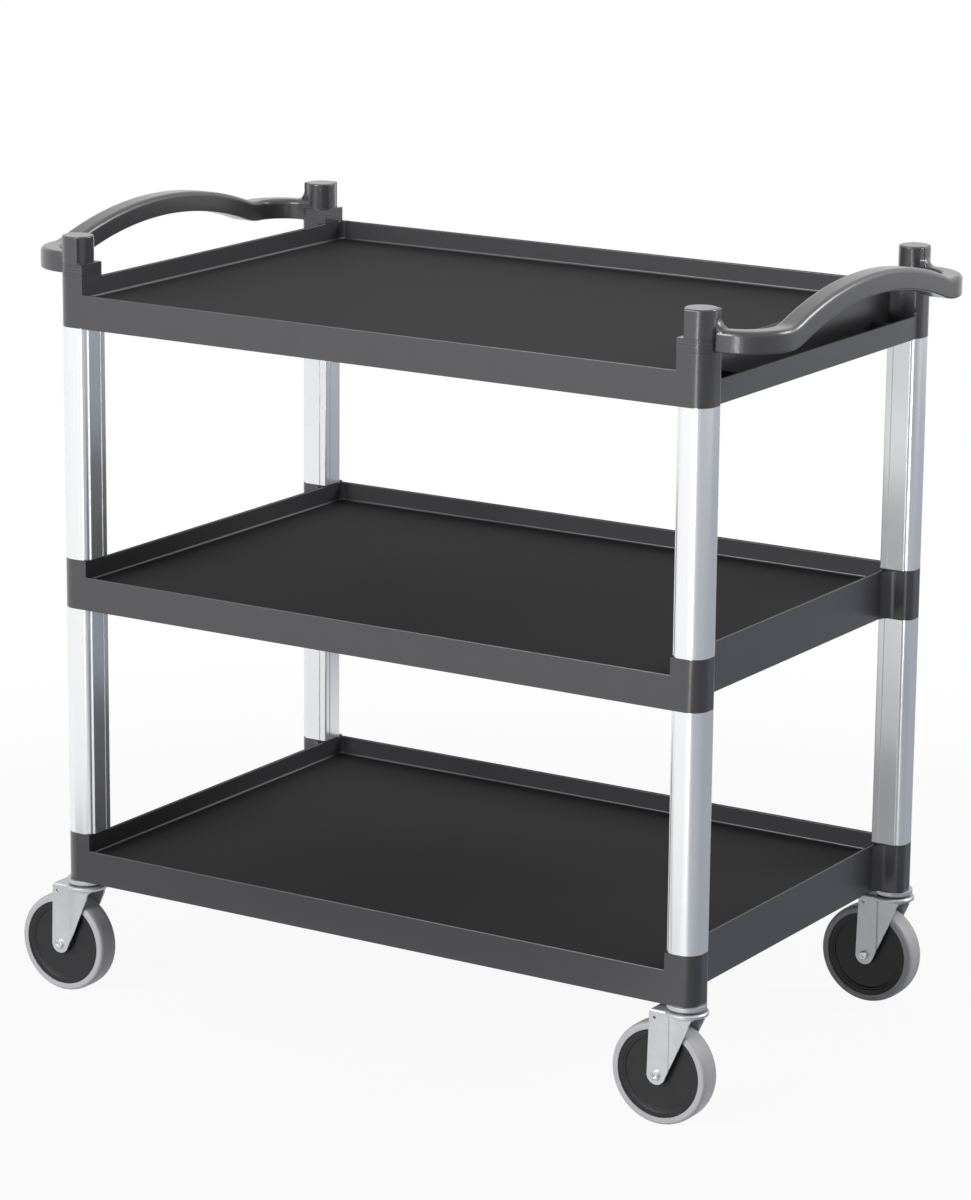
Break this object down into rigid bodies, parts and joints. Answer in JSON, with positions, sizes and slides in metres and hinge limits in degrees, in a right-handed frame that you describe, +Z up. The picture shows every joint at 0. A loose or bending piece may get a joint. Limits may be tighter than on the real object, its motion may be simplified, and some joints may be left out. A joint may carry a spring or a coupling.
{
  "type": "service cart",
  "caption": "Rectangular service cart with stacked moulded tray shelves on hollow metal posts, an arched push handle at each end and swivel casters.",
  "frame": {"origin": "on the floor, under the middle of the cart", "axes": "+X along the length towards the right handle, +Y from the low front walls to the high back walls, +Z up"},
  "size_m": [1.0367, 0.5724, 0.9695],
  "materials": {
    "shelf_plastic": "moulded charcoal plastic with a fine grain",
    "handle_plastic": "smooth satin moulded charcoal plastic",
    "post_aluminium": "bright satin extrusion with fine lengthwise lines",
    "zinc_steel": "zinc plated pressed steel",
    "bearing_steel": "greased dark steel",
    "fastener_steel": "zinc plated",
    "wheel_plastic": "moulded black plastic",
    "tyre_rubber": "smooth grey non-marking rubber"
  },
  "bodies": {
    "frame": {"bottom_shelf": "shelf_plastic", "middle_shelf": "shelf_plastic", "top_shelf": "shelf_plastic", "lower_post_front_left": "post_aluminium", "upper_post_front_left": "post_aluminium", "lower_post_front_right": "post_aluminium", "upper_post_front_right": "post_aluminium", "lower_post_back_left": "post_aluminium", "upper_post_back_left": "post_aluminium", "lower_post_back_right": "post_aluminium", "upper_post_back_right": "post_aluminium", "left_handle": "handle_plastic", "right_handle": "handle_plastic", "handle_bolts": "fastener_steel", "caster_stem_front_left": "zinc_steel", "swivel_bearing_front_left": "bearing_steel", "king_nut_front_left": "fastener_steel", "caster_stem_front_right": "zinc_steel", "swivel_bearing_front_right": "bearing_steel", "king_nut_front_right": "fastener_steel", "caster_stem_back_left": "zinc_steel", "swivel_bearing_back_left": "bearing_steel", "king_nut_back_left": "fastener_steel", "caster_stem_back_right": "zinc_steel", "swivel_bearing_back_right": "bearing_steel", "king_nut_back_right": "fastener_steel"},
    "caster_front_left": {"fork_front_left": "zinc_steel", "axle_sleeve_front_left": "fastener_steel", "axle_bolt_front_left": "fastener_steel", "axle_nut_front_left": "fastener_steel"},
    "wheel_front_left": {"wheel_core_front_left": "wheel_plastic", "tyre_front_left": "tyre_rubber"},
    "caster_front_right": {"fork_front_right": "zinc_steel", "axle_sleeve_front_right": "fastener_steel", "axle_bolt_front_right": "fastener_steel", "axle_nut_front_right": "fastener_steel"},
    "wheel_front_right": {"wheel_core_front_right": "wheel_plastic", "tyre_front_right": "tyre_rubber"},
    "caster_back_left": {"fork_back_left": "zinc_steel", "axle_sleeve_back_left": "fastener_steel", "axle_bolt_back_left": "fastener_steel", "axle_nut_back_left": "fastener_steel"},
    "wheel_back_left": {"wheel_core_back_left": "wheel_plastic", "tyre_back_left": "tyre_rubber"},
    "caster_back_right": {"fork_back_right": "zinc_steel", "axle_sleeve_back_right": "fastener_steel", "axle_bolt_back_right": "fastener_steel", "axle_nut_back_right": "fastener_steel"},
    "wheel_back_right": {"wheel_core_back_right": "wheel_plastic", "tyre_back_right": "tyre_rubber"}
  },
  "joints": [
    {"name": "swivel_front_left", "type": "hinge", "parent": "frame", "child": "caster_front_left", "pos_m": [-0.43025, -0.26025, 0.14], "axis": [0, 0, 1], "continuous": true},
    {"name": "roll_front_left", "type": "hinge", "parent": "caster_front_left", "child": "wheel_front_left", "pos_m": [-0.45825, -0.26025, 0.0625], "axis": [0, 1, 0], "continuous": true},
    {"name": "swivel_front_right", "type": "hinge", "parent": "frame", "child": "caster_front_right", "pos_m": [0.43025, -0.26025, 0.14], "axis": [0, 0, 1], "continuous": true},
    {"name": "roll_front_right", "type": "hinge", "parent": "caster_front_right", "child": "wheel_front_right", "pos_m": [0.40225, -0.26025, 0.0625], "axis": [0, 1, 0], "continuous": true},
    {"name": "swivel_back_left", "type": "hinge", "parent": "frame", "child": "caster_back_left", "pos_m": [-0.43025, 0.26025, 0.14], "axis": [0, 0, 1], "continuous": true},
    {"name": "roll_back_left", "type": "hinge", "parent": "caster_back_left", "child": "wheel_back_left", "pos_m": [-0.45825, 0.26025, 0.0625], "axis": [0, 1, 0], "continuous": true},
    {"name": "swivel_back_right", "type": "hinge", "parent": "frame", "child": "caster_back_right", "pos_m": [0.43025, 0.26025, 0.14], "axis": [0, 0, 1], "continuous": true},
    {"name": "roll_back_right", "type": "hinge", "parent": "caster_back_right", "child": "wheel_back_right", "pos_m": [0.40225, 0.26025, 0.0625], "axis": [0, 1, 0], "continuous": true}
  ]
}
